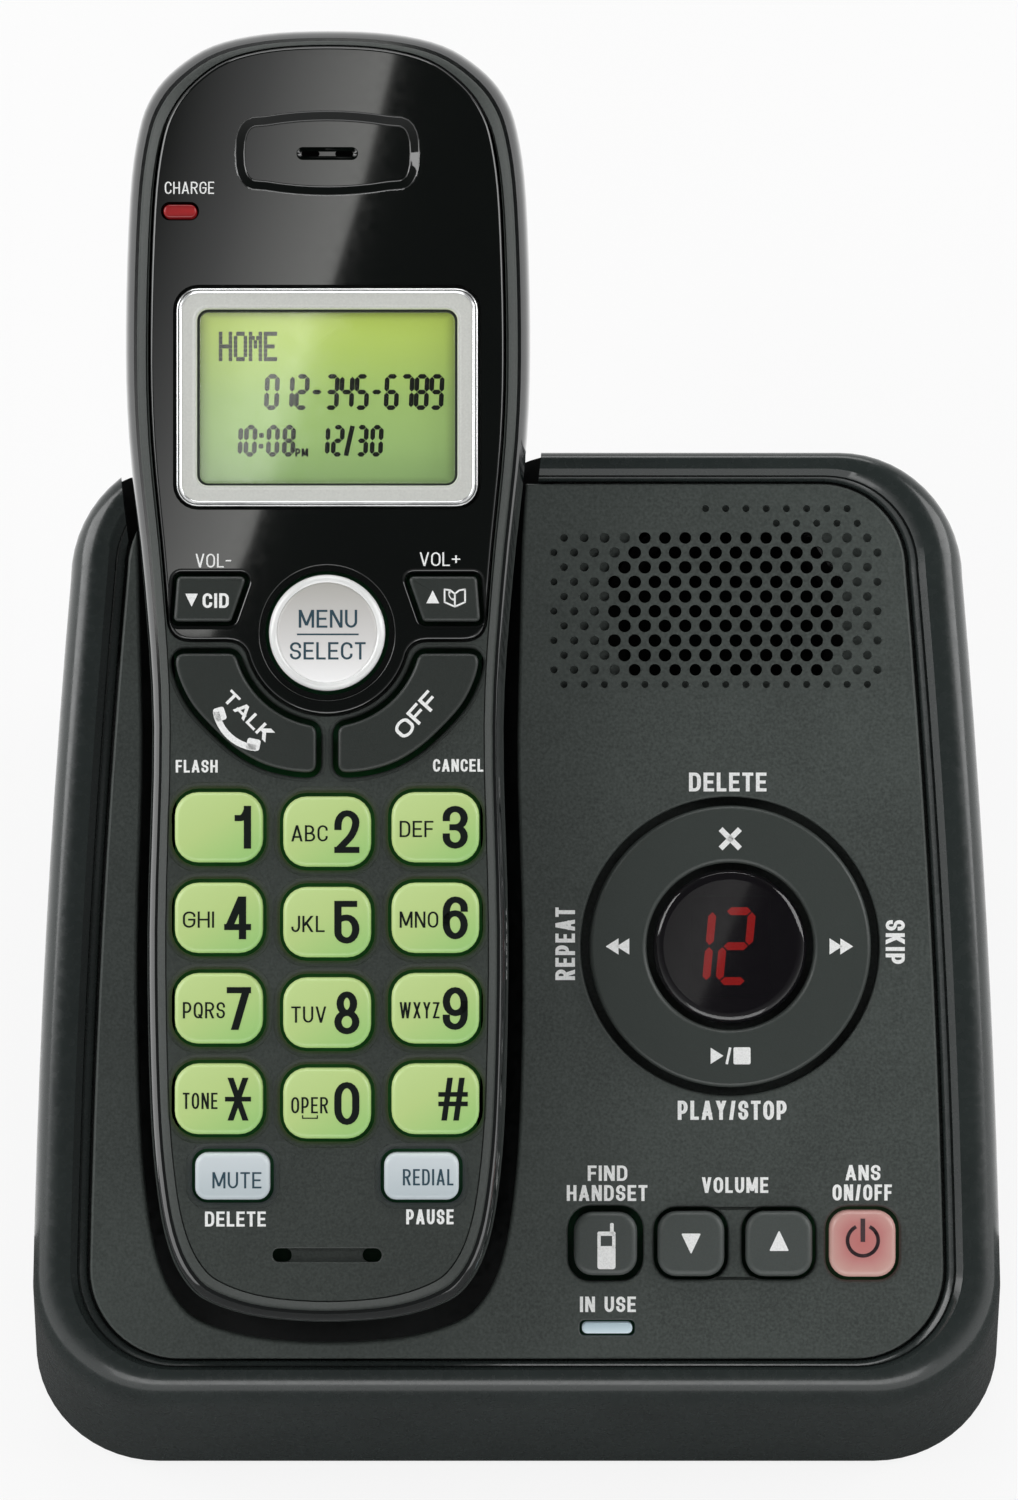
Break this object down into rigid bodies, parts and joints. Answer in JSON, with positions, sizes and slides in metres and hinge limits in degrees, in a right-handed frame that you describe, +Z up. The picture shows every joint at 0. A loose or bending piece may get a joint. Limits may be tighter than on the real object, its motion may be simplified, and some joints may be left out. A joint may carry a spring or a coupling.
{
  "type": "answering machine",
  "caption": "Wedge-shaped cordless telephone base with digital answering controls, and its handset lying in a sloped cradle.",
  "frame": {"origin": "middle of the whole object's footprint, on the table", "axes": "+Z up, +X to the right seen from the front, +Y from the low front edge towards the high back and the handset's earpiece"},
  "size_m": [0.1152, 0.1478, 0.0959],
  "materials": {
    "gloss_housing": "glossy near-black moulded plastic",
    "matte_shell": "dark grey moulded plastic with a fine grain",
    "trough": "black moulded plastic",
    "faceplate": "high gloss black",
    "under_cover": "black moulded plastic with a fine grain",
    "rubber_feet": "black rubber",
    "line_socket": "pale plastic",
    "power_socket": "black plastic",
    "contact_metal": "plated spring steel",
    "dark_window": "dark violet clear plastic",
    "light_digits": "red lit segments on black",
    "circuit_board": "green solder mask",
    "speaker": "black pressed metal and paper cone",
    "in_use_light": "translucent blue grey plastic",
    "bezel": "satin silver trim",
    "lcd_window": "clear lens over a green lit display",
    "lcd_module": "green lit display with dark segments",
    "battery": "shrink sleeve",
    "charge_light": "red lens",
    "tilt_ring": "grey moulded plastic",
    "lit_keys": "translucent key lit green from behind",
    "pearl_keys": "pearl white moulded plastic",
    "dark_keys": "charcoal moulded plastic",
    "answer_key": "translucent key lit pink from behind"
  },
  "bodies": {
    "base": {"base_housing": "gloss_housing", "control_panel": "matte_shell", "handset_trough": "trough", "bottom_cover": "under_cover", "foot_front_left": "rubber_feet", "foot_front_right": "rubber_feet", "foot_back_left": "rubber_feet", "foot_back_right": "rubber_feet", "line_socket": "line_socket", "power_socket": "power_socket", "charge_spring_left": "contact_metal", "charge_spring_right": "contact_metal", "display_window": "dark_window", "light_display": "light_digits", "base_circuit_board": "circuit_board", "loudspeaker": "speaker", "in_use_light": "in_use_light"},
    "handset": {"handset_rear_shell": "gloss_housing", "handset_front_shell": "matte_shell", "handset_faceplate": "faceplate", "lcd_bezel": "bezel", "lcd_window": "lcd_window", "lcd_module": "lcd_module", "earpiece_speaker": "speaker", "microphone": "contact_metal", "handset_circuit_board": "circuit_board", "battery_pack": "battery", "charge_light": "charge_light", "charge_contact_left": "contact_metal", "charge_contact_right": "contact_metal"},
    "battery_door": {"battery_door": "gloss_housing"},
    "tilt_ring": {"tilt_ring": "tilt_ring"},
    "message_ring": {"message_ring": "matte_shell"},
    "key_1": {"key_1": "lit_keys"},
    "key_2": {"key_2": "lit_keys"},
    "key_3": {"key_3": "lit_keys"},
    "key_4": {"key_4": "lit_keys"},
    "key_5": {"key_5": "lit_keys"},
    "key_6": {"key_6": "lit_keys"},
    "key_7": {"key_7": "lit_keys"},
    "key_8": {"key_8": "lit_keys"},
    "key_9": {"key_9": "lit_keys"},
    "key_star": {"key_star": "lit_keys"},
    "key_0": {"key_0": "lit_keys"},
    "key_hash": {"key_hash": "lit_keys"},
    "mute_key": {"mute_key": "pearl_keys"},
    "redial_key": {"redial_key": "pearl_keys"},
    "menu_key": {"menu_key": "pearl_keys"},
    "call_list_key": {"call_list_key": "dark_keys"},
    "phone_book_key": {"phone_book_key": "dark_keys"},
    "talk_key": {"talk_key": "dark_keys"},
    "off_key": {"off_key": "dark_keys"},
    "find_key": {"find_key": "dark_keys"},
    "volume_down_key": {"volume_down_key": "dark_keys"},
    "volume_up_key": {"volume_up_key": "dark_keys"},
    "answer_key": {"answer_key": "answer_key"}
  },
  "joints": [
    {"name": "handset_lift", "type": "slide", "parent": "base", "child": "handset", "axis": [0, -0.3827, 0.9239], "range_m": [0, 0.045]},
    {"name": "battery_door_lift", "type": "slide", "parent": "handset", "child": "battery_door", "axis": [0, 0.3827, -0.9239], "range_m": [0, 0.02]},
    {"name": "ring_tilt_up_down", "type": "hinge", "parent": "base", "child": "tilt_ring", "pos_m": [0.025, -0.02295, 0.03953], "axis": [1, 0, 0], "range_deg": [-2, 2], "stiffness_Nm_per_rad": 0.6},
    {"name": "ring_tilt_left_right", "type": "hinge", "parent": "tilt_ring", "child": "message_ring", "pos_m": [0.025, -0.0234, 0.04064], "axis": [0, 0.9239, 0.3827], "range_deg": [-2, 2], "stiffness_Nm_per_rad": 0.6},
    {"name": "key_1_press", "type": "slide", "parent": "handset", "child": "key_1", "axis": [0, 0.3827, -0.9239], "range_m": [0, 0.0007], "stiffness_N_per_m": 1500},
    {"name": "key_2_press", "type": "slide", "parent": "handset", "child": "key_2", "axis": [0, 0.3827, -0.9239], "range_m": [0, 0.0007], "stiffness_N_per_m": 1500},
    {"name": "key_3_press", "type": "slide", "parent": "handset", "child": "key_3", "axis": [0, 0.3827, -0.9239], "range_m": [0, 0.0007], "stiffness_N_per_m": 1500},
    {"name": "key_4_press", "type": "slide", "parent": "handset", "child": "key_4", "axis": [0, 0.3827, -0.9239], "range_m": [0, 0.0007], "stiffness_N_per_m": 1500},
    {"name": "key_5_press", "type": "slide", "parent": "handset", "child": "key_5", "axis": [0, 0.3827, -0.9239], "range_m": [0, 0.0007], "stiffness_N_per_m": 1500},
    {"name": "key_6_press", "type": "slide", "parent": "handset", "child": "key_6", "axis": [0, 0.3827, -0.9239], "range_m": [0, 0.0007], "stiffness_N_per_m": 1500},
    {"name": "key_7_press", "type": "slide", "parent": "handset", "child": "key_7", "axis": [0, 0.3827, -0.9239], "range_m": [0, 0.0007], "stiffness_N_per_m": 1500},
    {"name": "key_8_press", "type": "slide", "parent": "handset", "child": "key_8", "axis": [0, 0.3827, -0.9239], "range_m": [0, 0.0007], "stiffness_N_per_m": 1500},
    {"name": "key_9_press", "type": "slide", "parent": "handset", "child": "key_9", "axis": [0, 0.3827, -0.9239], "range_m": [0, 0.0007], "stiffness_N_per_m": 1500},
    {"name": "key_star_press", "type": "slide", "parent": "handset", "child": "key_star", "axis": [0, 0.3827, -0.9239], "range_m": [0, 0.0007], "stiffness_N_per_m": 1500},
    {"name": "key_0_press", "type": "slide", "parent": "handset", "child": "key_0", "axis": [0, 0.3827, -0.9239], "range_m": [0, 0.0007], "stiffness_N_per_m": 1500},
    {"name": "key_hash_press", "type": "slide", "parent": "handset", "child": "key_hash", "axis": [0, 0.3827, -0.9239], "range_m": [0, 0.0007], "stiffness_N_per_m": 1500},
    {"name": "mute_key_press", "type": "slide", "parent": "handset", "child": "mute_key", "axis": [0, 0.3827, -0.9239], "range_m": [0, 0.0007], "stiffness_N_per_m": 1500},
    {"name": "redial_key_press", "type": "slide", "parent": "handset", "child": "redial_key", "axis": [0, 0.3827, -0.9239], "range_m": [0, 0.0007], "stiffness_N_per_m": 1500},
    {"name": "menu_key_press", "type": "slide", "parent": "handset", "child": "menu_key", "axis": [0, 0.3827, -0.9239], "range_m": [0, 0.0007], "stiffness_N_per_m": 1500},
    {"name": "call_list_key_press", "type": "slide", "parent": "handset", "child": "call_list_key", "axis": [0, 0.3827, -0.9239], "range_m": [0, 0.0007], "stiffness_N_per_m": 1500},
    {"name": "phone_book_key_press", "type": "slide", "parent": "handset", "child": "phone_book_key", "axis": [0, 0.3827, -0.9239], "range_m": [0, 0.0007], "stiffness_N_per_m": 1500},
    {"name": "talk_key_press", "type": "slide", "parent": "handset", "child": "talk_key", "axis": [0, 0.3827, -0.9239], "range_m": [0, 0.0007], "stiffness_N_per_m": 1500},
    {"name": "off_key_press", "type": "slide", "parent": "handset", "child": "off_key", "axis": [0, 0.3827, -0.9239], "range_m": [0, 0.0007], "stiffness_N_per_m": 1500},
    {"name": "find_key_press", "type": "slide", "parent": "base", "child": "find_key", "axis": [0, 0.3827, -0.9239], "range_m": [0, 0.0008], "stiffness_N_per_m": 1500},
    {"name": "volume_down_key_press", "type": "slide", "parent": "base", "child": "volume_down_key", "axis": [0, 0.3827, -0.9239], "range_m": [0, 0.0008], "stiffness_N_per_m": 1500},
    {"name": "volume_up_key_press", "type": "slide", "parent": "base", "child": "volume_up_key", "axis": [0, 0.3827, -0.9239], "range_m": [0, 0.0008], "stiffness_N_per_m": 1500},
    {"name": "answer_key_press", "type": "slide", "parent": "base", "child": "answer_key", "axis": [0, 0.3827, -0.9239], "range_m": [0, 0.0008], "stiffness_N_per_m": 1500}
  ]
}
